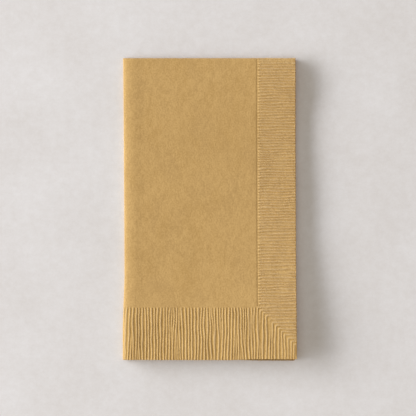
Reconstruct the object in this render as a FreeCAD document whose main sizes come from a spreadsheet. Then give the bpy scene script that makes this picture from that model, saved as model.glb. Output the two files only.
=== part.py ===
import FreeCAD, Part
import math
import os
import Sketcher
from FreeCAD import Vector

# A paper guest towel: one sheet of soft embossed tissue, folded in thirds across its
# width as a letter is, and then in half across its length. The panels of each half are,
# from the outside in, the outer panel with its free edge at +X, the tucked panel, and
# the inner panel that both are hinged to. The half fold at +Y joins two such halves.
#
# A coined border of ribs runs round the sheet. The ribs run along Y over the end border
# and along X over the side border, and they turn a mitred corner where the two meet.
# The paper there is an evenly thick zigzag: behind each groove is a ridge.
#
# X runs across the folded towel, +Y points to the half fold, -Y to the open end, and +Z
# is up. The origin is on the rest plane, under the middle of the folded towel.

SIZES = {
    "panel_width": 114.3,  # the folded width, a third of the open sheet
    "folded_length": 200.0,  # from the open end to the crown of the half fold
    "paper_thickness": 0.3,  # the tissue itself, all its plies together
    "rib_height": 0.4,  # from the floor of a groove to the plain face
    "crest_drop": 0.02,  # how far the coined crests lie below the plain face
    "panel_gap": 0.1,  # air between one panel and the next
    "fold_setback": 1.0,  # how far the inner fold stays behind the outer free edge
    "tuck_back": 2.5,  # from the centre of the outer fold to the tucked free edge
    "end_border": 35.4,  # length of the ribs that run out over the open end
    "side_border": 26.0,  # length of the ribs that run out over the free edge
    "end_rib_pitch": 2.04,
    "side_rib_pitch": 1.9,
    "rib_margin": 1.5,  # plain strip left beside each fold
}

OVERRUN = 1.0  # how far a cutting tool runs on past the edge of the sheet
REACH = 0.04  # how far a cutting tool stands proud of the face that it cuts
INNER, TUCKED, OUTER = 0, 1, 2  # the panels of one half, counted from the mid-plane

SHEET = "(Sizes.paper_thickness + Sizes.rib_height)"
STACK_HALF = f"(3 * {SHEET} + 2.5 * Sizes.panel_gap)"
STRAIGHT = f"(Sizes.folded_length - {STACK_HALF})"
EDGE_X = "(Sizes.panel_width / 2)"
OUTER_FOLD = f"(1.5 * {SHEET} + Sizes.panel_gap)"
INNER_FOLD = f"({SHEET} + Sizes.panel_gap / 2)"
OUTER_FOLD_X = f"({OUTER_FOLD} - {EDGE_X})"
INNER_FOLD_X = f"({EDGE_X} - Sizes.fold_setback - {INNER_FOLD})"
TUCKED_EDGE_X = f"({OUTER_FOLD_X} + Sizes.tuck_back)"
BORDER_X = f"({EDGE_X} - Sizes.side_border)"
BORDER_Y = f"(Sizes.end_border - {STRAIGHT})"
END_PITCH = "Sizes.end_rib_pitch"
SIDE_PITCH = "Sizes.side_rib_pitch"

doc = FreeCAD.newDocument("guest_towel")


def bottom_of(panel):
    return f"({panel} * {SHEET} + {panel + 0.5} * Sizes.panel_gap)"


def top_of(panel):
    return f"({panel + 1} * {SHEET} + {panel + 0.5} * Sizes.panel_gap)"


def make_sizes():
    """The spreadsheet that drives every sketch and feature."""
    sheet = doc.addObject("Spreadsheet::Sheet", "Sizes")
    for row, (name, size) in enumerate(SIZES.items(), start=1):
        sheet.set(f"A{row}", name)
        sheet.set(f"B{row}", str(size))
        sheet.setAlias(f"B{row}", name)
    doc.recompute()


def origin_feature(body, role):
    return next(item for item in body.Origin.OriginFeatures if item.Role == role)


def new_sketch(body, name, plane, offset=None):
    """A sketch on one of the body's own planes, moved along that plane's normal."""
    sketch = body.newObject("Sketcher::SketchObject", name)
    sketch.AttachmentSupport = [(origin_feature(body, plane), "")]
    sketch.MapMode = "FlatFace"
    if offset:
        sketch.setExpression("AttachmentOffset.Base.z", offset)
    return sketch


def bind(sketch, kind, *where, formula):
    """A dimension of a sketch, bound to the sizes."""
    value = float(sketch.evalExpression(formula))
    index = sketch.addConstraint(Sketcher.Constraint(kind, *where, value))
    sketch.setExpression(f"Constraints[{index}]", formula)


def pin(sketch, line, end, x, y):
    bind(sketch, "DistanceX", line, end, formula=x)
    bind(sketch, "DistanceY", line, end, formula=y)


def point(sketch, x, y):
    return Vector(float(sketch.evalExpression(x)), float(sketch.evalExpression(y)), 0)


def add_line(sketch, start, end):
    """A line whose start is pinned to the sizes."""
    line = sketch.addGeometry(Part.LineSegment(point(sketch, *start), point(sketch, *end)))
    pin(sketch, line, 1, *start)
    return line


def add_path(sketch, *corners):
    """Lines joined end to end through the corners."""
    lines = [add_line(sketch, *ends) for ends in zip(corners, corners[1:])]
    for before, after in zip(lines, lines[1:]):
        sketch.addConstraint(Sketcher.Constraint("Coincident", before, 2, after, 1))
    return lines


def add_outline(sketch, *corners):
    """A closed outline of lines through the corners."""
    lines = add_path(sketch, *corners, corners[0])
    sketch.addConstraint(Sketcher.Constraint("Coincident", lines[-1], 2, lines[0], 1))


def add_fold(sketch, x, height, radius, first_angle):
    """A fold seen end on: half a turn about the fold's centre."""
    centre = point(sketch, x, height)
    circle = Part.Circle(centre, Vector(0, 0, 1), float(sketch.evalExpression(radius)))
    angles = math.radians(first_angle), math.radians(first_angle + 180)
    fold = sketch.addGeometry(Part.ArcOfCircle(circle, *angles))
    pin(sketch, fold, 3, x, height)
    return fold


def make_section(body):
    """The upper half seen from the open end: one outline through panels and folds."""
    section = new_sketch(body, "section", "XZ_Plane")
    outer_height = f"({bottom_of(INNER)} + {OUTER_FOLD})"
    inner_height = f"({bottom_of(INNER)} + {INNER_FOLD})"
    outer_turn = (OUTER_FOLD_X, outer_height)
    inner_turn = (INNER_FOLD_X, inner_height)
    from_left, from_right = 90, -90

    def across(start_x, end_x, height):
        return add_line(section, (start_x, height), (end_x, height))

    outer_top = across(EDGE_X, OUTER_FOLD_X, top_of(OUTER))
    outside_left = add_fold(section, *outer_turn, OUTER_FOLD, from_left)
    inner_bottom = across(OUTER_FOLD_X, INNER_FOLD_X, bottom_of(INNER))
    outside_right = add_fold(section, *inner_turn, INNER_FOLD, from_right)
    tucked_top = across(INNER_FOLD_X, TUCKED_EDGE_X, top_of(TUCKED))
    tucked_edge = add_line(section, (TUCKED_EDGE_X, top_of(TUCKED)), (TUCKED_EDGE_X, bottom_of(TUCKED)))
    tucked_bottom = across(TUCKED_EDGE_X, INNER_FOLD_X, bottom_of(TUCKED))
    inside_right = add_fold(section, *inner_turn, f"({INNER_FOLD} - {SHEET})", from_right)
    inner_top = across(INNER_FOLD_X, OUTER_FOLD_X, top_of(INNER))
    inside_left = add_fold(section, *outer_turn, f"({OUTER_FOLD} - {SHEET})", from_left)
    outer_bottom = across(OUTER_FOLD_X, EDGE_X, bottom_of(OUTER))
    outer_edge = add_line(section, (EDGE_X, bottom_of(OUTER)), (EDGE_X, top_of(OUTER)))

    # The outline's pieces in order, each with the ends that it is entered and left by.
    run = [
        (outer_top, 1, 2),
        (outside_left, 1, 2),
        (inner_bottom, 1, 2),
        (outside_right, 1, 2),
        (tucked_top, 1, 2),
        (tucked_edge, 1, 2),
        (tucked_bottom, 1, 2),
        (inside_right, 2, 1),
        (inner_top, 1, 2),
        (inside_left, 2, 1),
        (outer_bottom, 1, 2),
        (outer_edge, 1, 2),
    ]
    for (piece, _, left), (following, entered, _) in zip(run, run[1:] + run[:1]):
        section.addConstraint(Sketcher.Constraint("Coincident", piece, left, following, entered))
    for fold, entered in ((outside_left, 1), (outside_right, 1), (inside_right, 2), (inside_left, 2)):
        section.addConstraint(Sketcher.Constraint("Vertical", fold, entered, fold, 3))
    return section


def add_groove(sketch, x, face, side, pitch):
    """A groove's triangle: its point in the paper, its mouth just outside the face.

    side is +1 for a face that looks up and -1 for one that looks down. The slopes of
    neighbouring grooves meet crest_drop inside the face.
    """
    depth = "Sizes.rib_height"
    spread = f"({pitch} / 2 * ({depth} + {REACH}) / ({depth} - Sizes.crest_drop))"
    floor_height = f"({face} - {side} * {depth})"
    mouth_height = f"({face} + {side} * {REACH})"
    add_outline(
        sketch,
        (x, floor_height),
        (f"({x} - {spread})", mouth_height),
        (f"({x} + {spread})", mouth_height),
    )


def cut_row(body, name, sketch, length, pitch, span, backwards):
    """Cuts a sketch's grooves along the sheet and repeats them over the span."""
    cut = body.newObject("PartDesign::Pocket", f"{name}_cut")
    cut.Profile = sketch
    cut.Reversed = True
    cut.setExpression("Length", f"{length} + {OVERRUN}")
    row = body.newObject("PartDesign::LinearPattern", f"{name}_row")
    row.Originals = [cut]
    row.Direction = (sketch, ["H_Axis"])
    row.Reversed = backwards
    row.Mode = "Spacing"
    row.setExpression("Offset", pitch)
    row.setExpression("Occurrences", f"floor({span} / {pitch}) + 1")
    body.Tip = row


def cut_end_rows(body):
    """The grooves along Y at the open end, through all three panels of the half.

    The faces that the two halves turn to each other stay plain.
    """
    half_pitch = f"{END_PITCH} / 2"
    offset = f"{STRAIGHT} - Sizes.end_border"

    outer = new_sketch(body, "outer_end_grooves", "XZ_Plane", offset)
    add_groove(outer, f"({BORDER_X} - {END_PITCH})", top_of(OUTER), 1, END_PITCH)
    add_groove(outer, f"({BORDER_X} - {half_pitch})", bottom_of(OUTER), -1, END_PITCH)
    span = f"({BORDER_X} - {END_PITCH} - {OUTER_FOLD_X} - Sizes.rib_margin)"
    cut_row(body, "outer_end", outer, "Sizes.end_border", END_PITCH, span, True)

    inner = new_sketch(body, "inner_end_grooves", "XZ_Plane", offset)
    room = f"({INNER_FOLD_X} - Sizes.rib_margin - {BORDER_X})"
    first = f"({BORDER_X} + floor({room} / {END_PITCH} - 1) * {END_PITCH})"
    add_groove(inner, first, top_of(TUCKED), 1, END_PITCH)
    add_groove(inner, f"({first} + {half_pitch})", bottom_of(TUCKED), -1, END_PITCH)
    add_groove(inner, first, top_of(INNER), 1, END_PITCH)
    span = f"({first} - {TUCKED_EDGE_X} - Sizes.rib_margin)"
    cut_row(body, "inner_end", inner, "Sizes.end_border", END_PITCH, span, True)


def cut_side_row(body):
    """The grooves along X at the outer panel's free edge."""
    grooves = new_sketch(body, "side_grooves", "YZ_Plane", BORDER_X)
    add_groove(grooves, f"({BORDER_Y} + {SIDE_PITCH})", top_of(OUTER), 1, SIDE_PITCH)
    add_groove(grooves, f"({BORDER_Y} + {SIDE_PITCH} / 2)", bottom_of(OUTER), -1, SIDE_PITCH)
    span = f"(-{BORDER_Y} - {SIDE_PITCH} - Sizes.rib_margin)"
    cut_row(body, "side", grooves, "Sizes.side_border", SIDE_PITCH, span, False)


def cut_corner(body, mitre, name, shift, face, side):
    """Grooves that come in from the free edge and turn to the open end on the mitre."""
    x = f"({BORDER_X} + {shift} * {END_PITCH})"
    y = f"({BORDER_Y} - {shift} * {SIDE_PITCH})"
    outside = f"-({STRAIGHT} + {OVERRUN})"
    path = new_sketch(body, f"{name}_corner_path", "XY_Plane")
    lines = add_path(path, (x, outside), (x, y), (f"({EDGE_X} + {OVERRUN})", y))
    pin(path, lines[-1], 2, f"({EDGE_X} + {OVERRUN})", y)

    profile = new_sketch(body, f"{name}_corner_profile", "XZ_Plane", f"{STRAIGHT} + {OVERRUN}")
    add_groove(profile, x, face, side, END_PITCH)

    cut = body.newObject("PartDesign::SubtractivePipe", f"{name}_corner_cut")
    cut.Profile = profile
    cut.Spine = (path, [])
    cut.Transition = "Right corner"
    row = body.newObject("PartDesign::LinearPattern", f"{name}_corner_row")
    row.Originals = [cut]
    row.Direction = (mitre, ["Edge1"])
    row.Mode = "Spacing"
    row.setExpression("Offset", f"sqrt({END_PITCH}^2 + {SIDE_PITCH}^2)")
    row.setExpression("Occurrences", f"floor(Sizes.side_border / {END_PITCH} - {shift}) + 1")
    body.Tip = row


def make_mitre(body):
    """The line from the border's inner corner on which the grooves turn."""
    mitre = new_sketch(body, "mitre", "XY_Plane")
    outer_end = (f"({BORDER_X} + {END_PITCH})", f"({BORDER_Y} - {SIDE_PITCH})")
    lines = add_path(mitre, (BORDER_X, BORDER_Y), outer_end)
    pin(mitre, lines[0], 2, *outer_end)
    return mitre


def make_guest_towel():
    body = doc.addObject("PartDesign::Body", "guest_towel")
    section = make_section(body)
    panels = body.newObject("PartDesign::Pad", "panels")
    panels.Profile = section
    panels.setExpression("Length", STRAIGHT)

    half_fold = body.newObject("PartDesign::Revolution", "half_fold")
    half_fold.Profile = section
    half_fold.ReferenceAxis = (origin_feature(body, "X_Axis"), [""])
    half_fold.Angle = 90
    half_fold.Reversed = True

    cut_end_rows(body)
    cut_side_row(body)
    mitre = make_mitre(body)
    cut_corner(body, mitre, "top", 0, top_of(OUTER), 1)
    cut_corner(body, mitre, "back", 0.5, bottom_of(OUTER), -1)

    doc.recompute()
    lower_half = body.newObject("PartDesign::Mirrored", "lower_half")
    lower_half.TransformMode = "Whole shape"
    lower_half.MirrorPlane = (origin_feature(body, "XY_Plane"), [""])
    body.Tip = lower_half

    body.setExpression("Placement.Base.y", f"Sizes.folded_length / 2 - {STACK_HALF}")
    body.setExpression("Placement.Base.z", STACK_HALF)
    return body


def write(body):
    """Checks that all of the model came out sound, then writes the sub-part's file."""
    doc.recompute()
    failed = [item.Name for item in doc.Objects if {"Invalid", "Error"} & set(item.State)]
    if failed:
        raise RuntimeError(f"failed to compute: {', '.join(failed)}")
    if body.Shape.isNull() or not body.Shape.isValid() or len(body.Shape.Solids) != 1:
        raise RuntimeError(f"{body.Label} is not one sound solid")
    os.makedirs("parts", exist_ok=True)
    body.Shape.exportStep(f"parts/{body.Label}.step")


make_sizes()
write(make_guest_towel())
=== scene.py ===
import math
from functools import partial

import bpy
import numpy as np
from bpy.props import FloatProperty, FloatVectorProperty, IntProperty, PointerProperty
from bpy.types import Operator, Panel, PropertyGroup
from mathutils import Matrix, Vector
from mathutils.geometry import delaunay_2d_cdt


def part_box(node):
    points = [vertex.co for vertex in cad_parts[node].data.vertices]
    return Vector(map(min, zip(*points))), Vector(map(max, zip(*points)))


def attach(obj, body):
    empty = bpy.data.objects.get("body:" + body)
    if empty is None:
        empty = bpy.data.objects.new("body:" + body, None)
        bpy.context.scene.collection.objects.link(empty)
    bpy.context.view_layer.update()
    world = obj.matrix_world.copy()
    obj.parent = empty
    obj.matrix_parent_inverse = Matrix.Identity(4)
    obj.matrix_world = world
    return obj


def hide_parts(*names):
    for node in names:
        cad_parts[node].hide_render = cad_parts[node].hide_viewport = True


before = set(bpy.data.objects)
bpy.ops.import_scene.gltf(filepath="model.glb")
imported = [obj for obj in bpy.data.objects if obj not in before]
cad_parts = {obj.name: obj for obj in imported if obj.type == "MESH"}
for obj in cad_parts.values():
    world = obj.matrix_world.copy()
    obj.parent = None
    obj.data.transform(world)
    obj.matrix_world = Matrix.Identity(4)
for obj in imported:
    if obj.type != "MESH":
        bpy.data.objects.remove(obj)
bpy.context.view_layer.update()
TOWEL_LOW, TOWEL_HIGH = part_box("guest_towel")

bl_info = {
    "name": "Paper Guest Towel",
    "version": (1, 0, 0),
    "blender": (4, 5, 0),
    "location": "3D View > Sidebar > Guest Towel",
    "description": "A folded tissue guest towel with a coined border of ribs",
    "category": "Object",
}

MM = 0.001


def linear(hex_colour):
    """An sRGB hex colour such as #C09C64 as linear red, green, blue and alpha."""
    channels = [int(hex_colour[place : place + 2], 16) / 255 for place in (1, 3, 5)]
    return tuple(
        value / 12.92 if value <= 0.04045 else ((value + 0.055) / 1.055) ** 2.4
        for value in channels
    ) + (1.0,)


def setting_kind(make, **limits):
    """A kind of setting, which is then given its name, its description and its default."""

    def setting(name, description, default, **others):
        return make(name=name, description=description, default=default, **{**limits, **others})

    return setting


length_setting = setting_kind(FloatProperty, unit="LENGTH")
angle_setting = setting_kind(FloatProperty, unit="ROTATION")
power_setting = setting_kind(FloatProperty, unit="POWER")
strength_setting = setting_kind(FloatProperty, min=0)
share_setting = setting_kind(FloatProperty, subtype="FACTOR", min=0, max=1)
colour_setting = setting_kind(FloatVectorProperty, size=4, subtype="COLOR", min=0, max=1)
count_setting = setting_kind(IntProperty, min=0)


class TowelSize(PropertyGroup):
    """How the sheet is folded and how it lies."""

    width: length_setting("Width", "Across the folded towel", TOWEL_HIGH.x - TOWEL_LOW.x)
    length: length_setting(
        "Length", "From the open end to the crown of the half fold", TOWEL_HIGH.y - TOWEL_LOW.y
    )
    height: length_setting(
        "Height", "From the table to the top of the ribs", TOWEL_HIGH.z - TOWEL_LOW.z
    )
    sheet: length_setting("Sheet", "Thickness of the three plies together", 0.48 * MM)
    gap: length_setting("Gap", "Air between one panel and the next", 0.28 * MM)
    fold_setback: length_setting(
        "Fold setback", "How far the inner fold stays behind the outer free edge", 1.0 * MM
    )
    tuck_back: length_setting(
        "Tuck back", "From the centre of the outer fold to the tucked free edge", 2.5 * MM
    )
    fold_reach: length_setting(
        "Fold reach", "How far the sheet bulges past its flat panels at the outer fold", 0.12 * MM
    )
    lower_turn: angle_setting(
        "Lower turn", "How far the lower half lies turned about the half fold", -0.0015
    )
    fan: length_setting("Fan", "How much wider the upper half is at its open end", 0.75 * MM)
    slip: length_setting(
        "Slip", "How far the upper half stays back over the lower at the open corner", 1.3 * MM
    )
    waist: length_setting(
        "Waist", "How far the outer fold draws in between its two ends", 0.98 * MM
    )
    pinch: share_setting(
        "Pinch", "How much of the stack's height is pressed out at the outer fold", 0.21
    )
    crown_pinch: share_setting(
        "Crown pinch", "How much of the stack's height is pressed out at the half fold", 0.2
    )
    loft: share_setting("Loft", "How much higher the stack stands at its open corner", 0.77)
    rise: share_setting("Rise", "How much higher the free edge stands than the outer fold", 0.07)
    spring: share_setting(
        "Spring", "How much higher the free edge stands beside the half fold", 0.18
    )
    slack: share_setting(
        "Slack", "How much lower the free edge lies a quarter of the way down", 0.22
    )
    curl: share_setting("Curl", "How much the side border turns up to its free edge", 0.13)


class RibSize(PropertyGroup):
    """The coined border. Each size here is an input of the border's node tree."""

    end_border: length_setting(
        "End border", "Length of the ribs that run out over the open end", 35.4 * MM
    )
    side_border: length_setting(
        "Side border", "Length of the ribs that run out over the free edge", 26.0 * MM
    )
    end_pitch: length_setting("End pitch", "From one end rib to the next", 2.04 * MM)
    side_pitch: length_setting("Side pitch", "From one side rib to the next", 1.87 * MM)
    corner_pitch: length_setting(
        "Corner pitch", "From one side rib to the next along the mitre", 2.13 * MM
    )
    end_height: length_setting(
        "End rib height", "From the floor of a groove to the crest of an end rib", 0.25 * MM
    )
    side_height: length_setting(
        "Side rib height", "From the floor of a groove to the crest of a side rib", 0.58 * MM
    )
    score_depth: length_setting(
        "Score depth", "Depth of the scored line inside the side border", 0.15 * MM
    )
    waver: share_setting(
        "Waver", "How far the ribs stray sideways, as a share of their pitch", 1.1, max=2
    )
    end_forks: count_setting(
        "End forks", "How many end ribs start or stop part of the way along", 18
    )
    side_forks: count_setting(
        "Side forks", "How many side ribs start or stop part of the way along", 9
    )


class TissueFinish(PropertyGroup):
    """The paper's colours, and the tints of its painted highlight and painted shade."""

    pale: colour_setting("Pale", "The tissue where its fibres lie open", linear("#C9A46A"))
    deep_warm: colour_setting(
        "Deep warm", "The tissue where its fibres lie dense and warm", linear("#BB965D")
    )
    deep_cool: colour_setting(
        "Deep cool", "The tissue where its fibres lie dense and cool", linear("#BA9660")
    )
    # The loose fibres' own colour, and the painted highlight on the ribs' crests.
    loose: colour_setting(
        "Loose",
        "Crests of the ribs, and fibres that stand up from the side border",
        linear("#CDB188"),
    )
    # Tint of the painted shade on the turn of the outer fold.
    crease: colour_setting(
        "Crease", "What the turn of the outer fold is tinted with", linear("#DADBE2")
    )
    # Tint of the painted shade on the floors of the grooves.
    groove: colour_setting("Groove", "What the floor of a groove is tinted with", linear("#F1EBCE"))
    ply_line: colour_setting(
        "Ply line", "The line between two plies where the sheet is cut", linear("#8A6B3F")
    )


class StageSet(PropertyGroup):
    """The table and the light on it."""

    table: colour_setting("Table", "Colour of the table top", linear("#DEDAD8"))
    backdrop: colour_setting("Backdrop", "Colour of the room behind the table", linear("#DEDAD8"))
    low_window: power_setting("Low window", "Power of the window light that comes in lowest", 276)
    high_window: power_setting(
        "High window", "Power of the wider, cooler window light above it", 336
    )
    room: strength_setting("Room", "Strength of the light from the ceiling and the walls", 1.0)


def settings_of(group):
    """The properties that a group declares for itself."""
    inherited = ("rna_type", "name")
    return [setting for setting in group.bl_rna.properties if setting.identifier not in inherited]


# ---- the sheet, cut flat and folded ----

# A point of the flat sheet is (across, along). Across starts at the outer panel's free
# edge and runs through the outer fold, the inner panel, the inner fold and the tucked
# panel. Along is nought on the half fold, positive in the upper half of the stack.

PANELS = 3

# How square the two folds are pressed. A round turn would have 2.
OUTER_CRISPNESS = 6
HALF_CRISPNESS = 4

# Rows over one half of the half fold, closest where it turns sharpest, as shares of it.
CROWN_SHARES = np.array([0, 0.15, 0.3, 0.38, 0.44, 0.5, 0.56, 0.62, 0.7, 0.85, 1, 1.25, 1.8])

# How far round the outer fold the ends of the ribs show.
RIBBED_SHARE = 0.6


def pressed_out(angle, crispness):
    """How much further out a pressed turn reaches at this angle than a round one."""
    sideways, upwards = np.abs(np.cos(angle)), np.abs(np.sin(angle))
    return (sideways**crispness + upwards**crispness) ** (-1 / crispness)


class Stack:
    """Where each stretch of the folded sheet lies, seen from the open end."""

    def __init__(self, size):
        step = size.sheet + size.gap
        self.size = size
        self.edge_x = size.width / 2
        self.end_y = -size.length / 2
        self.top = PANELS * size.sheet + (PANELS - 0.5) * size.gap
        self.inner, self.tucked, self.outer = [
            (size.gap + size.sheet) / 2 + panel * step for panel in range(PANELS)
        ]
        self.outer_turn = step
        self.outer_reach = size.fold_reach
        self.inner_turn = step / 2
        self.outer_fold_x = self.outer_reach + size.sheet / 2 - self.edge_x
        self.inner_fold_x = self.edge_x - size.fold_setback - self.inner_turn - size.sheet / 2
        runs = [
            self.edge_x - self.outer_fold_x,
            math.pi * (self.outer_turn + self.outer_reach) / 2,
            self.inner_fold_x - self.outer_fold_x,
            math.pi * self.inner_turn,
            self.inner_fold_x - self.outer_fold_x - size.tuck_back,
        ]
        self.stops = np.cumsum(runs)
        outer_run, outer_end = self.stops[:2]
        self.ribbed_fold = outer_run + RIBBED_SHARE * (outer_end - outer_run)
        self.straight = size.length - self.top
        self.quarter = math.pi / 4 * self.top
        self.half_length = self.straight + self.quarter
        self.crown_rows = self.half_length - self.quarter * CROWN_SHARES
        self.crown_start = self.crown_rows[-1]

    def across(self, across, proud):
        """X and height above the mid-plane of points that stand proud of the sheet's middle."""
        outer_run, outer_end, inner_run, inner_end, _ = self.stops
        outer_angle = math.pi / 2 + math.pi * (across - outer_run) / (outer_end - outer_run)
        out = pressed_out(outer_angle, OUTER_CRISPNESS)
        inner_angle = -math.pi / 2 + (across - inner_run) / self.inner_turn
        outer_centre = self.outer - self.outer_turn
        inner_centre = self.inner + self.inner_turn
        stretches = [
            across <= outer_run,
            across < outer_end,
            across <= inner_run,
            across < inner_end,
        ]
        x = np.select(
            stretches,
            [
                self.edge_x - across,
                self.outer_fold_x + (self.outer_reach + proud) * out * np.cos(outer_angle),
                self.outer_fold_x + across - outer_end,
                self.inner_fold_x + (self.inner_turn + proud) * np.cos(inner_angle),
            ],
            self.inner_fold_x - across + inner_end,
        )
        height = np.select(
            stretches,
            [
                self.outer + proud,
                outer_centre + (self.outer_turn + proud) * out * np.sin(outer_angle),
                self.inner - proud,
                inner_centre + (self.inner_turn + proud) * np.sin(inner_angle),
            ],
            self.tucked + proud,
        )
        return x, height

    def place(self, flat, proud):
        """The folded places of flat points, and which way is up in each half."""
        across, along = flat.T
        x, height = self.across(across, proud)
        turned = np.clip(along / self.quarter, -1, 1) * math.pi / 2
        past = np.maximum(np.abs(along) - self.quarter, 0)
        out = height * pressed_out(turned, HALF_CRISPNESS)
        y = self.size.length / 2 - self.top + out * np.cos(turned) - past
        z = self.size.height / 2 + out * np.sin(turned)
        up = np.sin(turned)[:, None] * np.column_stack([0 * x, np.cos(turned), np.sin(turned)])
        return np.column_stack([x, y, z]), up


def spread(start, stop, step):
    """Even steps from start to stop, both included."""
    return np.linspace(start, stop, max(1, round((stop - start) / step)) + 1)


def closing_in(stop, steps):
    """Places that close in on stop from below, given how far short each falls."""
    return stop - steps


def crossings(across, from_end):
    """Every meeting of lines across and lines along the sheet."""
    return np.stack(np.meshgrid(across, from_end), axis=-1).reshape(-1, 2)


# Steps across one rib in the upper half of the stack, in the lower, and behind a hidden rim.
UPPER_SAMPLES = 8
LOWER_SAMPLES = 5
HIDDEN_SAMPLES = 6

# Steps along the ribs, over the plain field, over what is hidden and along the folds.
RIB_STEP = 1.4 * MM
FIELD_STEP = 3.0 * MM
HIDDEN_STEP = 4.5 * MM
FOLD_STEP = 1.2 * MM
FOLD_SEGMENTS = 8

# Close lines by a rim, by the ribs' inner ends, over the scored line and before a fold,
# and how far the even steps between them keep away.
EDGE_STEPS = np.array([0.35, 1.0, 2.2]) * MM
FADE_STEPS = np.array([1.9, 1.3, 0.8, 0.4, 0.0, -0.6]) * MM
SCORE_STEPS = np.array([0.3, 0.6, 1.0, 1.6]) * MM
TURN_STEPS = np.array([1.2, 0.7, 0.35]) * MM
RIB_START, RIB_STOP, FIELD_MARGIN = 3.6 * MM, 2.9 * MM, 2 * MM

# Rows behind a hidden rim: how far in each lies, and how many times coarser it is.
GRADED_ROWS = ((0.35 * MM, 1), (1.0 * MM, 2), (2.2 * MM, 4), (4.4 * MM, 8))

# How far points keep from the mitre and the open corner, and in millimetres from others.
MITRE_ROOM, CORNER_ROOM = 0.4 * MM, 0.1 * MM
POINT_SPACING = 0.12


def rib_steps(ribs, samples):
    """Steps across an end rib, across a side rib, and across one along the mitre."""
    return ribs.end_pitch / samples, ribs.side_pitch / samples, ribs.corner_pitch / samples


def graded_rows(across, fine):
    """Rows behind a rim that open out from its fine spacing to the hidden spacing."""
    start, stop = across
    return [crossings(spread(start, stop, fine * share), [depth]) for depth, share in GRADED_ROWS]


def coined_points(stack, ribs, samples):
    """Points of the outer panel for one half, dense across each rib and sparse along it."""
    outer_run, outer_end = stack.stops[:2]
    across_step, along_step, corner_step = rib_steps(ribs, samples)
    end, side = ribs.end_border, ribs.side_border
    crown, ribbed_fold = stack.crown_start, stack.ribbed_fold

    def ruled(length):
        middle = spread(RIB_START, length - RIB_STOP, RIB_STEP)
        return np.concatenate([EDGE_STEPS, middle, closing_in(length, FADE_STEPS)])

    rows, columns = ruled(end), ruled(side)
    points = [
        crossings(spread(side + across_step, ribbed_fold, across_step), rows),
        crossings(spread(ribbed_fold, outer_end, across_step)[1:], rows),
        crossings(columns[:-1], spread(end + along_step, crown, along_step)),
        crossings(columns[:-1], stack.crown_rows),
        crossings(side + SCORE_STEPS, spread(end, crown, RIB_STEP)),
    ]
    for rib in range(int(side / across_step) + 1):
        corner = np.array([side - rib * across_step, end - rib * corner_step])
        points.append(crossings(columns[columns < corner[0] - MITRE_ROOM], corner[1:]))
        points.append(crossings(corner[:1], rows[rows < corner[1] - MITRE_ROOM]))
        points.append(corner[None])
    field = spread(side + FIELD_STEP, outer_run - FIELD_MARGIN, FIELD_STEP)
    points.append(crossings(field, spread(end + FIELD_MARGIN, crown, FIELD_STEP)))
    points.append(crossings(closing_in(outer_run, TURN_STEPS), spread(end, crown, FOLD_STEP)))
    return points


def plain_points(stack, start, stop):
    """A coarse grid for one half of a panel that shows little, down to the half fold."""
    rows = spread(HIDDEN_STEP, stack.crown_start, HIDDEN_STEP)
    return crossings(spread(start, stop, HIDDEN_STEP), rows)


def fold_points(stack, start, stop, first_row, step):
    """Lines along one half of a fold, close enough together to turn it smoothly."""
    rows = np.concatenate([spread(first_row, stack.crown_start, step), stack.crown_rows])
    return crossings(np.linspace(start, stop, FOLD_SEGMENTS + 1), rows)


def rim_points(stack, ribs, samples):
    """The cut edge of one half, from the half fold round the open end and back."""
    far = stack.stops[-1]
    across_step, along_step, corner_step = rib_steps(ribs, samples)
    end, side = ribs.end_border, ribs.side_border
    mitred = np.arange(int(side / across_step), -1, -1)
    open_end = np.concatenate(
        [
            side - mitred * across_step,
            spread(side + across_step, stack.ribbed_fold, across_step),
            spread(stack.ribbed_fold + across_step, far, ribs.end_pitch / HIDDEN_SAMPLES),
        ]
    )
    free_edge = np.concatenate(
        [
            spread(0, end - mitred[0] * corner_step - RIB_STEP, RIB_STEP),
            end - mitred * corner_step,
            spread(end + along_step, stack.half_length, along_step),
        ]
    )
    tucked_edge = spread(0, stack.half_length, HIDDEN_STEP)
    return np.concatenate(
        [
            crossings(open_end[open_end > CORNER_ROOM], [0]),
            crossings([0], free_edge),
            crossings([far], tucked_edge[1:]),
        ]
    )


def half_points(stack, ribs, samples, outward):
    """One half of one face of the sheet, as points across and from the open end."""
    outer_run, outer_end, inner_run, inner_end, far = stack.stops
    hidden_start = outer_end if outward else 0
    first_row = ribs.end_border if outward else FIELD_STEP
    points = graded_rows((hidden_start, far), ribs.end_pitch / HIDDEN_SAMPLES)
    points.append(fold_points(stack, outer_run, outer_end, first_row, FOLD_STEP))
    points.append(fold_points(stack, inner_run, inner_end, FIELD_STEP, FIELD_STEP))
    points.append(plain_points(stack, outer_end, inner_run))
    points.append(plain_points(stack, inner_end, far))
    points.append(crossings(spread(FIELD_STEP, far, FIELD_STEP), stack.crown_rows))
    if outward:
        points += coined_points(stack, ribs, samples)
    else:
        points.append(plain_points(stack, HIDDEN_STEP, outer_run))
        behind_edge = graded_rows((0, stack.half_length), ribs.side_pitch / samples)
        points += [rows[:, ::-1] for rows in behind_edge]
    return np.concatenate(points)


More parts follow.
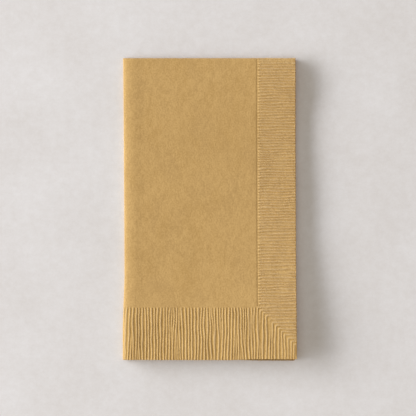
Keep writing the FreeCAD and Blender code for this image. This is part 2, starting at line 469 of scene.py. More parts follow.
def cut_face(stack, ribs, outward):
    """One face of the flat sheet: its points and its triangles."""
    rims, insides = [], []
    for half, samples in ((1, UPPER_SAMPLES), (-1, LOWER_SAMPLES)):
        rim = rim_points(stack, ribs, samples)
        inside = half_points(stack, ribs, samples, outward)
        for points, kept in ((rim, rims), (inside, insides)):
            kept.append(np.column_stack([points[:, 0], half * (stack.half_length - points[:, 1])]))
    rim, inside = np.concatenate(rims), np.concatenate(insides)
    room = np.minimum.reduce(
        [
            inside[:, 0],
            stack.stops[-1] - inside[:, 0],
            stack.half_length - np.abs(inside[:, 1]),
        ]
    )

    # Triangulated in millimetres, with points that nearly coincide taken as one.
    points = np.concatenate([rim, inside[room > POINT_SPACING * MM]]) / MM
    _, first = np.unique(np.round(points / POINT_SPACING), axis=0, return_index=True)
    points = [Vector(point) for point in points[np.sort(first)]]
    flat, _, faces, *_ = delaunay_2d_cdt(points, [], [], 0, 1e-6)
    return np.array([tuple(point) for point in flat]) * MM, faces


def rim_order(flat, stack):
    """The rim's points, once round the sheet with the paper on the left."""
    far, end = stack.stops[-1], stack.half_length
    across, along = flat.T
    hair = 0.01 * MM
    sides = [
        (along < hair - end, across),
        (across > far - hair, along),
        (along > end - hair, -across),
        (across < hair, -along),
    ]
    loop = []
    for on_side, order in sides:
        found = np.flatnonzero(on_side)
        found = found[np.argsort(order[found])]
        loop += [point for point in found if point not in loop[-1:] and point not in loop[:1]]
    return loop


def bump(places, centre, width):
    """A smooth hill of height one about a centre."""
    return np.exp(-(((places - centre) / width) ** 2))


def smooth_step(places, start, stop):
    """A smooth step from nought at start to one at stop."""
    share = np.clip((places - start) / (stop - start), 0, 1)
    return share * share * (3 - 2 * share)


# How far in from a rim the ribs of a hidden face can be seen.
RIM_REACH = 4 * MM

# Where round the outer fold its turn is painted darker and cooler, a painted shade, as shares of
# its turn.
FOLD_SHADE_TURN = (0.1, 0.4)


def rim_fade(depth):
    """How much of the ribs still shows this far behind a rim, on a face that is hidden."""
    return (1 - np.clip(depth / RIM_REACH, 0, 1)) ** 2


def fold_sheet(stack, ribs):
    """The folded sheet before it is coined: two faces and the cut edge between them.

    Each point has its place, which way and how much the ribs lift it, and three marks:
    its ply, the level of the sheet's middle there, and how far round the outer fold it lies, where
    painted shade darkens the turn.
    """
    places, lifts, faces, loops = [], [], [], []
    marks = {"ply": [], "level": [], "crease": []}
    outer_run, outer_end = stack.stops[:2]
    half_sheet = stack.size.sheet / 2
    count = 0
    for outward, proud in ((True, half_sheet), (False, -half_sheet)):
        flat, triangles = cut_face(stack, ribs, outward)
        from_end = stack.half_length - np.abs(flat[:, 1])
        turned = (flat[:, 0] - outer_run) / (outer_end - outer_run)
        shows = 1 - np.clip(turned, 0, 1) ** 2 if outward else rim_fade(flat[:, 0])
        place, up = stack.place(flat, proud)
        places.append(place)
        lifts.append(up * np.maximum(shows, rim_fade(from_end))[:, None])
        marks["ply"].append(np.full(len(flat), proud / half_sheet))
        marks["level"].append(stack.place(flat, 0)[0][:, 2])
        marks["crease"].append(smooth_step(turned, *FOLD_SHADE_TURN))
        for triangle in triangles:
            corners = [count + corner for corner in triangle]
            faces.append(corners if outward else corners[::-1])
        loops.append([count + point for point in rim_order(flat, stack)])
        count += len(flat)
    top_loop, bottom_loop = loops
    if len(top_loop) != len(bottom_loop):
        raise RuntimeError("the two faces of the sheet have different rims")

    # The cut edge has one more ring of points, halfway between the two faces.
    above, below = (np.concatenate(places)[loop] for loop in loops)
    places.append((above + below) / 2)
    for values in (lifts, marks["level"], marks["crease"]):
        values.append(np.concatenate(values)[top_loop])
    marks["ply"].append(np.zeros(len(top_loop)))
    middle_loop = list(range(count, count + len(top_loop)))
    for before in range(len(top_loop)):
        after = (before + 1) % len(top_loop)
        for near, far in ((top_loop, middle_loop), (middle_loop, bottom_loop)):
            faces.append([near[after], near[before], far[before], far[after]])
    marks = {name: np.concatenate(values) for name, values in marks.items()}
    return np.concatenate(places), np.concatenate(lifts), marks, faces


# ---- the coined border ----

MATH = "ShaderNodeMath"
VECTOR_MATH = "ShaderNodeVectorMath"
NOISE = "ShaderNodeTexNoise"
MAP_RANGE = "ShaderNodeMapRange"
MIX = "ShaderNodeMix"
RANDOM = "FunctionNodeRandomValue"


def add_node(tree, kind, *values, **settings):
    """A node with its settings, and its inputs filled in order with values or links."""
    node = tree.nodes.new(kind)
    for name, setting in settings.items():
        setattr(node, name, setting)
    inputs = [socket for socket in node.inputs if socket.enabled]
    for socket, value in zip(inputs, values):
        if isinstance(value, bpy.types.Node):
            value = next(output for output in value.outputs if output.enabled)
        if isinstance(value, bpy.types.NodeSocket):
            tree.links.new(value, socket)
        elif value is not None:
            socket.default_value = value
    return node


def add_forks(tree, place, low, high, run, squeeze, count, seed):
    """Ribs that start and stop on their way: the phase that they add, and the distance to one.

    Each is a pair of points between which there is one rib more. Round each point the
    phase of the ribs turns once, so that one rib becomes two there. The squeeze shortens
    distances along the ribs, and draws each fork out into a long narrow V.
    """
    start = tree.nodes.new("GeometryNodeRepeatInput")
    stop = tree.nodes.new("GeometryNodeRepeatOutput")
    start.pair_with_output(stop)
    stop.repeat_items.clear()
    stop.repeat_items.new("FLOAT", "Phase")
    stop.repeat_items.new("FLOAT", "Nearest")
    start.inputs["Phase"].default_value = 0
    start.inputs["Nearest"].default_value = 1
    tree.links.new(count, start.inputs["Iterations"])
    turn = start.outputs[0]
    phase, nearest = start.outputs["Phase"], start.outputs["Nearest"]
    add = partial(add_node, tree)

    first = add(RANDOM, low, high, turn, seed, data_type="FLOAT_VECTOR")
    reach = add(RANDOM, -1.0, 1.0, turn, seed + 1)
    step = add(VECTOR_MATH, run, reach, operation="SCALE")
    second = add(VECTOR_MATH, first, step, operation="ADD")
    for point, operation in ((first, "ADD"), (second, "SUBTRACT")):
        away = add(VECTOR_MATH, place, point, operation="SUBTRACT")
        flat_away = add(VECTOR_MATH, away, squeeze, operation="MULTIPLY")
        parts = add("ShaderNodeSeparateXYZ", flat_away).outputs
        angle = add(MATH, parts["Y"], parts["X"], operation="ARCTAN2")
        turns = add(MATH, angle, 2 * math.pi, operation="DIVIDE")
        phase = add(MATH, phase, turns, operation=operation)
        distance = add(VECTOR_MATH, flat_away, operation="LENGTH")
        nearest = add(MATH, nearest, distance, operation="MINIMUM")
    tree.links.new(phase.outputs[0], stop.inputs["Phase"])
    tree.links.new(nearest.outputs[0], stop.inputs["Nearest"])
    return stop.outputs["Phase"], stop.outputs["Nearest"]


# Where the ribs fade out at a border's inner end, and the room they leave the scored line.
RIB_FADE = (0.2 * MM, 1.5 * MM)
LINE_ROOM = 0.7 * MM

# The bends of the ribs, how they are drawn out along end ribs and side ribs, and how far
# the fine bends stray there, as a share of the pitch.
BEND_SPAN, FINE_BEND_SPAN = 5.5 * MM, 2.2 * MM
END_SQUEEZE, SIDE_SQUEEZE = (1, 0.3, 1), (0.33, 1.2, 1)
END_FINE_BEND, SIDE_FINE_BEND = 0.1, 0.3

# Forks start from just past the rim down to this depth, clear of the open corner.
FORK_OVERHANG = 5 * MM
END_FORK_DEPTH, END_FORK_CLEAR, END_FORK_RUN = 45 * MM, 14 * MM, 26 * MM
SIDE_FORK_DEPTH, SIDE_FORK_CLEAR, SIDE_FORK_RUN = 30 * MM, 30 * MM, 22 * MM
END_FORK_SQUEEZE, SIDE_FORK_SQUEEZE = (1, 0.22, 0), (0.3, 1, 0)
END_FORK_SEED, SIDE_FORK_SEED = 11, 23

# A ridge is a cosine with this share of its double, which makes it narrower than its
# groove. It then spans two from groove to crest.
NARROWNESS = 0.2
RIDGE_SPAN = 2.0

# How much of the ribs is left at a fork, in patches and at the worn open corner, and
# between which distances, or values of the patches' noise, it changes.
FORK_LEFT, FORK_REACH = 0.15, (0.2 * MM, 1.8 * MM)
PATCH_LEFT, PATCH_RANGE, PATCH_SPAN = (0.7, 1.1), (0.3, 0.65), 4.5 * MM
CORNER_LEFT, CORNER_REACH = 0.62, (4 * MM, 22 * MM)

# The scored line: where it lies, its half width and where it ends, and how much of its
# depth the border lies lower than the field.
LINE_PLACE, LINE_WIDTH = 0.6 * MM, 0.42 * MM
LINE_END = (-0.8 * MM, 0.4 * MM)
LINE_STEP, LINE_STEP_REACH = 0.2, 0.4 * MM

# Waves of the pile, as shares of the height by the open end and past it.
WAVE_SPAN = 16 * MM
WAVES, WAVE_EASE = (0.15, 0.04), (28 * MM, 42 * MM)


def scored_line(add, given, side_in, end_in):
    """How far the line inside the side border, and the border itself, lie below the field."""
    past_line = add(MATH, side_in, LINE_PLACE, operation="SUBTRACT")
    off_line = add(MATH, past_line, LINE_WIDTH, operation="DIVIDE")
    off_line = add(MATH, off_line, 2.0, operation="POWER")
    off_line = add(MATH, off_line, -1.0, operation="MULTIPLY")
    score = add(MATH, off_line, operation="EXPONENT")
    step = add(MAP_RANGE, past_line, -LINE_STEP_REACH, LINE_STEP_REACH, 0.0, LINE_STEP)
    score = add(MATH, score, step, operation="ADD")
    above = add(MAP_RANGE, end_in, *LINE_END, 1.0, 0.0, interpolation_type="SMOOTHSTEP")
    score = add(MATH, score, above, operation="MULTIPLY")
    return add(MATH, score, given["Score depth"], operation="MULTIPLY")


def coined_border_tree(stack, ribs):
    """Geometry Nodes that lift the ribs out of the folded sheet."""
    tree = bpy.data.node_groups.new("coined_border", "GeometryNodeTree")
    inputs = {"Sheet": "Geometry"}
    for setting in settings_of(ribs):
        inputs[setting.name] = "Int" if setting.type == "INT" else "Float"
    inputs["Tissue"] = "Material"
    for name, kind in inputs.items():
        tree.interface.new_socket(name, in_out="INPUT", socket_type="NodeSocket" + kind)
    tree.interface.new_socket("Sheet", in_out="OUTPUT", socket_type="NodeSocketGeometry")
    add = partial(add_node, tree)
    given = add("NodeGroupInput").outputs
    edge_x, end_y = stack.edge_x, stack.end_y

    # Ribs are counted in from the mitre, along the end border and along the side border.
    place = add("GeometryNodeInputPosition")
    parts = add("ShaderNodeSeparateXYZ", place).outputs
    from_edge = add(MATH, edge_x, parts["X"], operation="SUBTRACT")
    from_end = add(MATH, parts["Y"], end_y, operation="SUBTRACT")
    side_in = add(MATH, given["Side border"], from_edge, operation="SUBTRACT")
    end_in = add(MATH, given["End border"], from_end, operation="SUBTRACT")
    end_count = add(MATH, side_in, given["End pitch"], operation="DIVIDE")
    side_count = add(MATH, end_in, given["Side pitch"], operation="DIVIDE")
    corner_count = add(MATH, end_in, given["Corner pitch"], operation="DIVIDE")
    count = add(MATH, end_count, side_count, operation="MINIMUM")
    count = add(MATH, count, corner_count, 0.5, operation="SMOOTH_MIN")
    ribbed_side_in = add(MATH, side_in, LINE_ROOM, operation="SUBTRACT")
    inside = add(MATH, ribbed_side_in, end_in, operation="MAXIMUM")
    border = add(MAP_RANGE, inside, *RIB_FADE, 0.0, 1.0, interpolation_type="SMOOTHSTEP")

    # The ribs stray sideways: in long bends drawn out along them, and a little from one
    # millimetre to the next, more so in the side border.
    in_side = add(MATH, end_count, side_count, operation="GREATER_THAN")
    squeeze = add(MIX, in_side, END_SQUEEZE, SIDE_SQUEEZE, data_type="VECTOR")
    drawn_out = add(VECTOR_MATH, place, squeeze, operation="MULTIPLY")
    bends = add(NOISE, drawn_out, 1 / BEND_SPAN, 1.0)
    fine_bends = add(NOISE, place, 1 / FINE_BEND_SPAN, 1.0)
    more_bent = SIDE_FINE_BEND - END_FINE_BEND
    bent = add(MATH, in_side, more_bent, END_FINE_BEND, operation="MULTIPLY_ADD")
    stray = add(MATH, bends, 0.5, operation="SUBTRACT")
    stray = add(MATH, stray, given["Waver"], operation="MULTIPLY")
    fine_stray = add(MATH, fine_bends, 0.5, operation="SUBTRACT")
    stray = add(MATH, fine_stray, bent, stray, operation="MULTIPLY_ADD")

    end_forks, end_near = add_forks(
        tree,
        place,
        (-edge_x, end_y - FORK_OVERHANG, 0),
        (edge_x - END_FORK_CLEAR, end_y + END_FORK_DEPTH, 0),
        (0, END_FORK_RUN, 0),
        END_FORK_SQUEEZE,
        given["End forks"],
        END_FORK_SEED,
    )
    side_forks, side_near = add_forks(
        tree,
        place,
        (edge_x - SIDE_FORK_DEPTH, end_y + SIDE_FORK_CLEAR, 0),
        (edge_x + FORK_OVERHANG, -end_y, 0),
        (SIDE_FORK_RUN, 0, 0),
        SIDE_FORK_SQUEEZE,
        given["Side forks"],
        SIDE_FORK_SEED,
    )
    phase = count
    for shift in (stray, end_forks, side_forks):
        phase = add(MATH, phase, shift, operation="ADD")
    angle = add(MATH, phase, 2 * math.pi, operation="MULTIPLY")
    ridge = add(MATH, angle, operation="COSINE")
    double_angle = add(MATH, angle, 2.0, operation="MULTIPLY")
    narrow = add(MATH, double_angle, operation="COSINE")
    ridge = add(MATH, narrow, NARROWNESS, ridge, operation="MULTIPLY_ADD")

    # The paper stays nearly flat where a rib forks, and the coining is fainter in places
    # and at the open corner.
    near = add(MATH, end_near, side_near, operation="MINIMUM")
    whole = add(MAP_RANGE, near, *FORK_REACH, FORK_LEFT, 1.0, interpolation_type="SMOOTHSTEP")
    patches = add(NOISE, place, 1 / PATCH_SPAN, 2.0)
    faint = add(MAP_RANGE, patches, *PATCH_RANGE, *PATCH_LEFT)
    from_corner = add(MATH, from_edge, from_end, operation="MAXIMUM")
    worn = add(MAP_RANGE, from_corner, *CORNER_REACH, CORNER_LEFT, 1.0)
    strength = border
    for share in (whole, worn, faint):
        strength = add(MATH, strength, share, operation="MULTIPLY")
    crest = add(MATH, ridge, strength, operation="MULTIPLY")
    side_mark = add(MATH, border, in_side, operation="MULTIPLY")
    end_height, side_height = given["End rib height"], given["Side rib height"]
    taller = add(MATH, side_height, end_height, operation="SUBTRACT")
    height = add(MATH, in_side, taller, end_height, operation="MULTIPLY_ADD")
    height = add(MATH, height, RIDGE_SPAN, operation="DIVIDE")
    ribbed = add(MATH, crest, height, operation="MULTIPLY")

    # A scored line closes the side border against the plain field, which stands higher.
    score = scored_line(add, given, side_in, end_in)
    raised = add(MATH, ribbed, score, operation="SUBTRACT")
    lift = add("GeometryNodeInputNamedAttribute", "lift", data_type="FLOAT_VECTOR")
    offset = add(VECTOR_MATH, lift, raised, operation="SCALE")
    coined = add("GeometryNodeSetPosition", given["Sheet"], True, place, offset)
    for name, mark in (("crest", crest), ("side", side_mark)):
        coined = add("GeometryNodeStoreNamedAttribute", coined, True, name, mark)

    # The pile lies in slight waves, the same through all its panels, stronger by its open end.
    plan = add(VECTOR_MATH, place, (1, 1, 0), operation="MULTIPLY")
    waves = add(NOISE, plan, 1 / WAVE_SPAN, 1.0)
    wave = add(MATH, waves, 0.5, operation="SUBTRACT")
    waviness = add(MAP_RANGE, from_end, *WAVE_EASE, *WAVES)
    wave = add(MATH, wave, waviness, operation="MULTIPLY")
    rise = add(MATH, wave, parts["Z"], operation="MULTIPLY")
    rise = add("ShaderNodeCombineXYZ", 0.0, 0.0, rise)
    coined = add("GeometryNodeSetPosition", coined, True, None, rise)
    smooth = add("GeometryNodeSetShadeSmooth", coined, True, True)
    whole_mesh = add("GeometryNodeRealizeInstances", smooth)
    painted = add("GeometryNodeSetMaterial", whole_mesh, True, given["Tissue"])
    add("NodeGroupOutput", painted)
    return tree


def coin(blank, stack, ribs, material):
    """The blank sheet's mesh with the border coined into it."""
    modifier = blank.modifiers.new("coined_border", "NODES")
    modifier.node_group = coined_border_tree(stack, ribs)
    values = {setting.name: getattr(ribs, setting.identifier) for setting in settings_of(ribs)}
    values["Tissue"] = material
    for socket in modifier.node_group.interface.items_tree:
        if socket.name in values:
            modifier[socket.identifier] = values[socket.name]
    evaluated = blank.evaluated_get(bpy.context.evaluated_depsgraph_get())
    mesh = bpy.data.meshes.new_from_object(evaluated)
    blank.modifiers.remove(modifier)
    return mesh


# ---- how the folded towel lies ----

# Where the lower half of the stack passes into the upper, as shares of the height.
HALF_TO_HALF = (0.4, 0.6)

# How far in from the outer fold, the free edge and the half fold the press there reaches.
PINCH_RUN, DROOP_RUN, CROWN_RUN = 2.1 * MM, 1.8 * MM, 5 * MM

# How much lower the pile lies past the outer fold, between which two distances from it
# this comes in, and how much lower its free edge is pressed.
DIP, DIP_REACH, DROOP = 0.05, (6.5 * MM, 13 * MM), 0.016

# Along the pile, as shares of its length from the half fold: the middle and the reach of
# what springs up and of what lies slack, and where the gape starts and is full.
SPRING_PLACE, SLACK_PLACE, GAPE_PLACE = (0.085, 0.055), (0.25, 0.13), (0.55, 0.95)

# How much of the gape the outer fold has, how much of it is between the two halves, how
# much it straightens the curl, and how fast things rise across the pile.
GAPE_AT_FOLD, GAPE_BETWEEN, CURL_EASED, BOW = 0.3, 0.3, 0.8, 1.5

# Where the slip comes in, before the open end and across, the lower half's share of it,
# and how far from the half fold the lower half is wholly turned.
SLIP_RUN, SLIP_REACH, SLIP_OF_LOWER = 45 * MM, (10 * MM, 36 * MM), 0.45
TURN_RUN = 60 * MM

# The waist: where along the pile it is full, how it grows up to there, where it goes
# again, and how far in from the outer fold it reaches.
WAIST_PLACE, WAIST_GROWTH, WAIST_END, WAIST_REACH = 0.64, 0.8, (0.7, 0.9), 14 * MM


def settle(mesh, stack, ribs):
    """Moves the folded sheet to how it lies: pinched at its folds, loose at its open corner.

    The air between the panels gives and the sheet keeps its thickness, so a point rises
    with the level of the sheet's middle there.
    """
    size = stack.size
    places = np.empty(len(mesh.vertices) * 3, np.float32)
    mesh.vertices.foreach_get("co", places)
    x, y, z = places.reshape(-1, 3).T.astype(float)
    levels = np.empty(len(mesh.vertices), np.float32)
    mesh.attributes["level"].data.foreach_get("value", levels)
    mesh.attributes.remove(mesh.attributes["level"])
    level = levels.astype(float)
    upper = smooth_step(level / size.height, *HALF_TO_HALF)
    from_fold = np.maximum(x + stack.edge_x, 0)
    across = from_fold / size.width
    along = np.clip(0.5 - y / size.length, 0, 1)

    # The outer fold is pressed thinner than the stack behind it, which dips again beside it.
    pressed = size.pinch * np.exp(-from_fold / PINCH_RUN)
    dip = DIP * smooth_step(from_fold, *DIP_REACH)
    droop = DROOP * np.exp((x - stack.edge_x) / DROOP_RUN)
    creased = size.crown_pinch * np.exp(-along * size.length / CROWN_RUN)

    # The free edge springs up by the half fold, lies low past it, and gapes at the open end.
    spring = size.spring * bump(along, *SPRING_PLACE)
    slack = size.slack * bump(along, *SLACK_PLACE)
    gape = size.loft * smooth_step(along, *GAPE_PLACE)
    lift = GAPE_AT_FOLD + (1 - GAPE_AT_FOLD) * across**BOW
    loose = across**BOW * (size.rise + spring - slack) + lift * (1 - GAPE_BETWEEN) * gape
    wedge = lift * GAPE_BETWEEN * gape * size.height * upper
    curl = size.curl * np.clip((x - stack.edge_x) / ribs.side_border + 1, 0, 1) ** BOW
    curl = curl * (1 - CURL_EASED * gape)
    z = z + level * (-dip - pressed - droop - creased + loose + curl) + wedge

    # The upper half fans out to its open end, where its corner stays back over the lower.
    out = np.maximum(size.length / 2 - stack.top - y, 0)
    near_end = smooth_step(out, stack.straight - SLIP_RUN, stack.straight)
    slip = size.slip * (upper - SLIP_OF_LOWER) * near_end * smooth_step(x, *SLIP_REACH)
    x = x + upper * size.fan * (out / stack.straight) ** 2 * across
    turn = size.lower_turn * (1 - upper)
    x, y = x + turn * out, y + turn * x * np.clip(out / TURN_RUN, 0, 1) + slip

    # The outer fold draws in along the field, and the coined end holds it out.
    drawn = size.waist * (along / WAIST_PLACE) ** WAIST_GROWTH
    drawn = drawn * (1 - smooth_step(along, *WAIST_END))
    x = x + drawn * bump(from_fold, 0, WAIST_REACH)

    # The table presses the lowest ribs flat.
    z = np.maximum(z, 0)
    mesh.vertices.foreach_set("co", np.column_stack([x, y, z]).astype(np.float32).ravel())
    mesh.update()


# ---- finishes ----

# The clouds, the tones and the mottle of the tissue have their real size. Fibres are a few
# hundredths of a millimetre wide and crepe lines about a third of one: the grain, the
# loose fibres and the crepe are drawn some times coarser so that they show.
CLOUD_SPAN, TONE_SPAN, MOTTLE_SPAN = 22 * MM, 11 * MM, 3.6 * MM
CREPE_SPAN, GRAIN_SPAN, LOOSE_SPAN = 3 * MM, 1.0 * MM, 0.8 * MM

# The crepe lies turned in the sheet, drawn out along its lines. The fuzz is the grain's
# relief, stronger where the side border is teased up.
CREPE_TURN, CREPE_STRETCH = math.radians(-32), (1, 0.7, 1)
CREPE_DEPTH, CREPE_STRENGTH = 0.35 * MM, 0.3
FUZZ_DEPTH, FUZZ_STRENGTH, TEASED_STRENGTH = 0.18 * MM, 0.45, 0.55

# How much clouds, mottle and grain count, and the sums at which the tissue is wholly deep
# and wholly pale, and its deep tone wholly warm and wholly cool.
CLOUDINESS, MOTTLING, GRAININESS = 0.3, 0.5, 0.75
TISSUE_RANGE, TONE_RANGE = (0.62, 0.92), (0.3, 0.7)

# Where in their noise the loose specks begin and are full, how much of the loose colour
# they take, how much of it the crests take as a painted highlight, and how much less
# painted shade the side border's grooves get.
SPECK_RANGE, SPECK_SHARE, CREST_HIGHLIGHT_SHARE = (0.42, 0.7), 0.36, 0.52
SIDE_LESS_GROOVE_SHADE = 0.7

# The plies meet at this share of the sheet's half thickness, in a line that reaches so
# far to each side.
PLY_PLACE, PLY_LINE = 0.33, 0.09

# The limewash has clouds and brush strokes of their real size. How much each counts, the
# sums at which the coat is wholly deep and wholly pale, and what tints the table there.
LIME_CLOUD_SPAN, BRUSH_SPAN = 50 * MM, 6 * MM
LIME_CLOUDINESS, BRUSHING, LIME_RANGE = 0.5, 0.8, (0.45, 0.85)
DEEP_WARM_TINT, PALE_COOL_TINT = (0.945, 0.933, 0.922, 1), (1.06, 1.07, 1.085, 1)


def empty_material(name):
    """A material that has no nodes yet, and what adds them to it."""
    material = bpy.data.materials.new(name)
    material.use_nodes = True
    material.node_tree.nodes.clear()
    return material, partial(add_node, material.node_tree)


def matt_shader(add, colour):
    """The shader of a surface without any gloss, and the material's output."""
    shader = add("ShaderNodeBsdfPrincipled", colour)
    shader.inputs["Roughness"].default_value = 1.0
    shader.inputs["Specular IOR Level"].default_value = 0.0
    add("ShaderNodeOutputMaterial", shader)
    return shader


def kraft_tissue(finish):
    """Unbleached kraft tissue, dry-creped and embossed: a matt, fibrous tan.

    The eye gets a soft mottle from the crepe and the open fibres, and a fine grain.
    """
    material, add = empty_material("unbleached_kraft_tissue")
    links = material.node_tree.links
    place = add("ShaderNodeTexCoord").outputs["Object"]
    side, crest, crease, ply = [
        add("ShaderNodeAttribute", attribute_name=name).outputs["Fac"]
        for name in ("side", "crest", "crease", "ply")
    ]
    turned = add("ShaderNodeMapping", place, (0, 0, 0), (0, 0, CREPE_TURN), CREPE_STRETCH)
    clouds = add(NOISE, place, 1 / CLOUD_SPAN, 1.0)
    mottle = add(NOISE, turned, 1 / MOTTLE_SPAN, 3.0, 0.6)
    grain = add(NOISE, place, 1 / GRAIN_SPAN, 1.0, 0.6)
    mixed = add(MATH, clouds, CLOUDINESS, operation="MULTIPLY")
    mixed = add(MATH, mottle, MOTTLING, mixed, operation="MULTIPLY_ADD")
    mixed = add(MATH, grain, GRAININESS, mixed, operation="MULTIPLY_ADD")
    paleness = add(MAP_RANGE, mixed, *TISSUE_RANGE, 0.0, 1.0)
    tone = add(NOISE, turned, 1 / TONE_SPAN, 1.0)
    tone = add(MAP_RANGE, tone, *TONE_RANGE, 0.0, 1.0)
    warm, cool = tuple(finish.deep_warm), tuple(finish.deep_cool)
    deep = add(MIX, tone, warm, cool, data_type="RGBA")
    colour = add(MIX, paleness, deep, tuple(finish.pale), data_type="RGBA")

    # The side border's coining teases up pale loose fibres. The crests of all ribs take the
    # same pale colour as a painted highlight, where the low light catches them.
    specks = add(NOISE, place, 1 / LOOSE_SPAN, 0.0)
    specks = add(MAP_RANGE, specks, *SPECK_RANGE, 0.0, SPECK_SHARE)
    teased = add(MATH, specks, side, operation="MULTIPLY")
    raised = add(MAP_RANGE, crest, 0.0, 1.0, 0.0, CREST_HIGHLIGHT_SHARE)
    loose = add(MATH, teased, raised, operation="MAXIMUM")
    colour = add(MIX, loose, colour, tuple(finish.loose), data_type="RGBA")

    # Painted shade: the floors of the grooves are tinted deeper, less so in the side border,
    # and the turn of the outer fold is tinted darker and cooler.
    painted_groove_shade = add(MAP_RANGE, crest, -1.0, 0.0, 1.0, 0.0)
    groove_shade_weight = add(MATH, side, -SIDE_LESS_GROOVE_SHADE, 1.0, operation="MULTIPLY_ADD")
    painted_groove_shade = add(MATH, painted_groove_shade, groove_shade_weight, operation="MULTIPLY")
    for share, tint in ((painted_groove_shade, finish.groove), (crease, finish.crease)):
        colour = add(MIX, share, colour, tuple(tint), data_type="RGBA", blend_type="MULTIPLY")

    # The plies show as three layers where the sheet is cut.
    depth = add(MATH, ply, operation="ABSOLUTE")
    between = add(MATH, depth, PLY_PLACE, PLY_LINE, operation="COMPARE")
    colour = add(MIX, between, colour, tuple(finish.ply_line), data_type="RGBA")

    crepe = add(NOISE, turned, 1 / CREPE_SPAN, 2.0, 0.5)
    soft = add("ShaderNodeBump", CREPE_STRENGTH, CREPE_DEPTH)
    links.new(crepe.outputs[0], soft.inputs["Height"])
    fuzzy = add(MATH, side, TEASED_STRENGTH, FUZZ_STRENGTH, operation="MULTIPLY_ADD")
    fuzz = add("ShaderNodeBump", fuzzy, FUZZ_DEPTH)
    links.new(grain.outputs[0], fuzz.inputs["Height"])
    links.new(soft.outputs[0], fuzz.inputs["Normal"])

    shader = matt_shader(add, colour)
    shader.inputs["Sheen Weight"].default_value = 0.05
    shader.inputs["Sheen Roughness"].default_value = 0.5
    links.new(fuzz.outputs[0], shader.inputs["Normal"])
    return material


def limewash(stage):
    """Limewashed board, brushed and matt: pale, with faint cool and warm clouds."""
    material, add = empty_material("limewashed_board")
    place = add("ShaderNodeTexCoord").outputs["Object"]
    clouds = add(NOISE, place, 1 / LIME_CLOUD_SPAN, 2.0)
    strokes = add(NOISE, place, 1 / BRUSH_SPAN, 5.0, 0.85)
    mixed = add(MATH, clouds, LIME_CLOUDINESS, operation="MULTIPLY")
    mixed = add(MATH, strokes, BRUSHING, mixed, operation="MULTIPLY_ADD")
    paleness = add(MAP_RANGE, mixed, *LIME_RANGE, 0.0, 1.0)
    deep_warm, pale_cool = [
        tuple(channel * tint for channel, tint in zip(stage.table, tints))
        for tints in (DEEP_WARM_TINT, PALE_COOL_TINT)
    ]
    matt_shader(add, add(MIX, paleness, deep_warm, pale_cool, data_type="RGBA"))
    return material


# ---- operators ----


def put(scene, name, data):
    """A new object that shows this data in the scene."""
    thing = bpy.data.objects.new(name, data)
    scene.collection.objects.link(thing)
    return thing


class TOWEL_OT_fold_sheet(Operator):
    """Make the folded sheet with its coined border"""

    bl_idname = "towel.fold_sheet"
    bl_label = "Fold Sheet"

    def execute(self, context):
        scene = context.scene
        stack = Stack(scene.towel_size)
        places, lifts, marks, faces = fold_sheet(stack, scene.towel_ribs)
        blank_mesh = bpy.data.meshes.new("blank_sheet")
        blank_mesh.from_pydata(places.tolist(), [], faces)
        lift = blank_mesh.attributes.new("lift", "FLOAT_VECTOR", "POINT")
        lift.data.foreach_set("vector", lifts.ravel())
        for name, values in marks.items():
            mark = blank_mesh.attributes.new(name, "FLOAT", "POINT")
            mark.data.foreach_set("value", values)
        blank = put(scene, "blank_sheet", blank_mesh)
        mesh = coin(blank, stack, scene.towel_ribs, kraft_tissue(scene.towel_finish))
        bpy.data.objects.remove(blank)
        bpy.data.meshes.remove(blank_mesh)
        settle(mesh, stack, scene.towel_ribs)

        mesh.name = "folded_sheet"
        sheet = put(scene, "folded_sheet", mesh)
        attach(sheet, "root")
        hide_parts("guest_towel")
        return {"FINISHED"}


# How far the table reaches each way, in metres.
TABLE_REACH = 1.5

# Where the room's light comes from: an axis and its sign, how narrow the light is about
# it, and its colour. They are a bright ceiling, a warm wall opposite the windows and a
# wooden floor in front of the table.
ROOM_LIGHT = (
    ("Z", 1, 3, (0.85, 0.9, 0.88)),
    ("X", 1, 2, (0.55, 0.28, 0.18)),
    ("Y", -1, 2, (0.55, 0.434, 0.22)),
)

# Both windows stand in one direction, at one distance in metres. Each has its width and
# height in metres, how high it stands, and its colour.
WINDOW_AZIMUTH = math.radians(171)
WINDOW_DISTANCE = 4.6
LOW_WINDOW = (4.0, 1.0, math.radians(12.5), "#FFFFFF")
HIGH_WINDOW = (9.0, 1.27, math.radians(17.0), "#E9F1FF")

CAMERA_PLACE = (-0.83 * MM, 0.56 * MM, 1037.6 * MM)
CAMERA_LENS = 135
CAMERA_SENSOR = 36


def add_window(scene, name, power, window):
    """A wide soft light beside the table, turned to it."""
    width, height, elevation, colour = window
    light = bpy.data.lights.new(name, "AREA")
    light.shape = "RECTANGLE"
    light.size = width
    light.size_y = height
    light.energy = power
    light.color = linear(colour)[:3]
    lamp = put(scene, name, light)
    lamp.location = WINDOW_DISTANCE * Vector(
        (
            math.cos(elevation) * math.cos(WINDOW_AZIMUTH),
            math.cos(elevation) * math.sin(WINDOW_AZIMUTH),
            math.sin(elevation),
        )
    )
    lamp.rotation_euler = (-lamp.location).to_track_quat("-Z", "Y").to_euler()


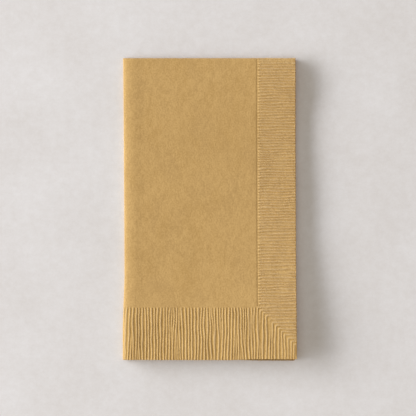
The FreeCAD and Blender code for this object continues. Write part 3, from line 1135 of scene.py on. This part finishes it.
def soft_room(stage):
    """A plain room round the table, which is seen only as a pale backdrop."""
    world = bpy.data.worlds.new("soft_room")
    world.use_nodes = True
    tree = world.node_tree
    add = partial(add_node, tree)
    direction = add("ShaderNodeTexCoord").outputs["Generated"]
    facing = add("ShaderNodeSeparateXYZ", direction).outputs
    light = (0, 0, 0)
    for axis, sign, narrowness, colour in ROOM_LIGHT:
        towards = add(MATH, facing[axis], sign, operation="MULTIPLY")
        towards = add(MATH, towards, 0.0, operation="MAXIMUM")
        towards = add(MATH, towards, narrowness, operation="POWER")
        light = add(VECTOR_MATH, colour, towards, light, operation="MULTIPLY_ADD")
    room = add("ShaderNodeBackground", light, stage.room)

    # What is seen past the table, and mirrored, is as pale as the table itself.
    backdrop = tree.nodes["Background"]
    backdrop.inputs["Color"].default_value = stage.backdrop
    rays = add("ShaderNodeLightPath").outputs
    seen = add(MATH, rays["Is Camera Ray"], rays["Is Glossy Ray"], operation="MAXIMUM")
    seen = add(MATH, seen, rays["Is Transmission Ray"], operation="MAXIMUM")
    shown = add("ShaderNodeMixShader", seen, room, backdrop)
    tree.links.new(shown.outputs[0], tree.nodes["World Output"].inputs["Surface"])
    return world


class TOWEL_OT_set_stage(Operator):
    """Make the table, the lights and the camera"""

    bl_idname = "towel.set_stage"
    bl_label = "Set Stage"

    def execute(self, context):
        scene = context.scene
        stage = scene.towel_stage
        corners = [(-1, -1, 0), (1, -1, 0), (1, 1, 0), (-1, 1, 0)]
        corners = [TABLE_REACH * Vector(corner) for corner in corners]
        floor_mesh = bpy.data.meshes.new("table_top")
        floor_mesh.from_pydata(corners, [], [(0, 1, 2, 3)])
        floor_mesh.materials.append(limewash(stage))
        floor = put(scene, "table_top", floor_mesh)

        add_window(scene, "low_window", stage.low_window, LOW_WINDOW)
        add_window(scene, "high_window", stage.high_window, HIGH_WINDOW)
        scene.world = soft_room(stage)

        camera_data = bpy.data.cameras.new("camera")
        camera_data.lens = CAMERA_LENS
        camera_data.sensor_width = CAMERA_SENSOR
        scene.camera = put(scene, "camera", camera_data)
        scene.camera.location = CAMERA_PLACE
        scene.view_settings.view_transform = "Standard"
        return {"FINISHED"}


class TOWEL_PT_guest_towel(Panel):
    """The towel's sizes and the steps that make it"""

    bl_label = "Guest Towel"
    bl_idname = "TOWEL_PT_guest_towel"
    bl_space_type = "VIEW_3D"
    bl_region_type = "UI"
    bl_category = "Guest Towel"

    def draw(self, context):
        layout = self.layout
        for group in GROUPS:
            settings = getattr(context.scene, group)
            box = layout.box()
            for setting in settings_of(settings):
                box.prop(settings, setting.identifier)
        for operator in OPERATORS:
            layout.operator(operator.bl_idname)


GROUPS = {
    "towel_size": TowelSize,
    "towel_ribs": RibSize,
    "towel_finish": TissueFinish,
    "towel_stage": StageSet,
}
OPERATORS = (TOWEL_OT_fold_sheet, TOWEL_OT_set_stage)
CLASSES = (*GROUPS.values(), *OPERATORS, TOWEL_PT_guest_towel)


def register():
    for cls in CLASSES:
        bpy.utils.register_class(cls)
    for name, group in GROUPS.items():
        setattr(bpy.types.Scene, name, PointerProperty(type=group))


def unregister():
    for name in GROUPS:
        delattr(bpy.types.Scene, name)
    for cls in reversed(CLASSES):
        bpy.utils.unregister_class(cls)


def main():
    register()
    bpy.ops.towel.fold_sheet()
    bpy.ops.towel.set_stage()


if __name__ == "__main__":
    main()
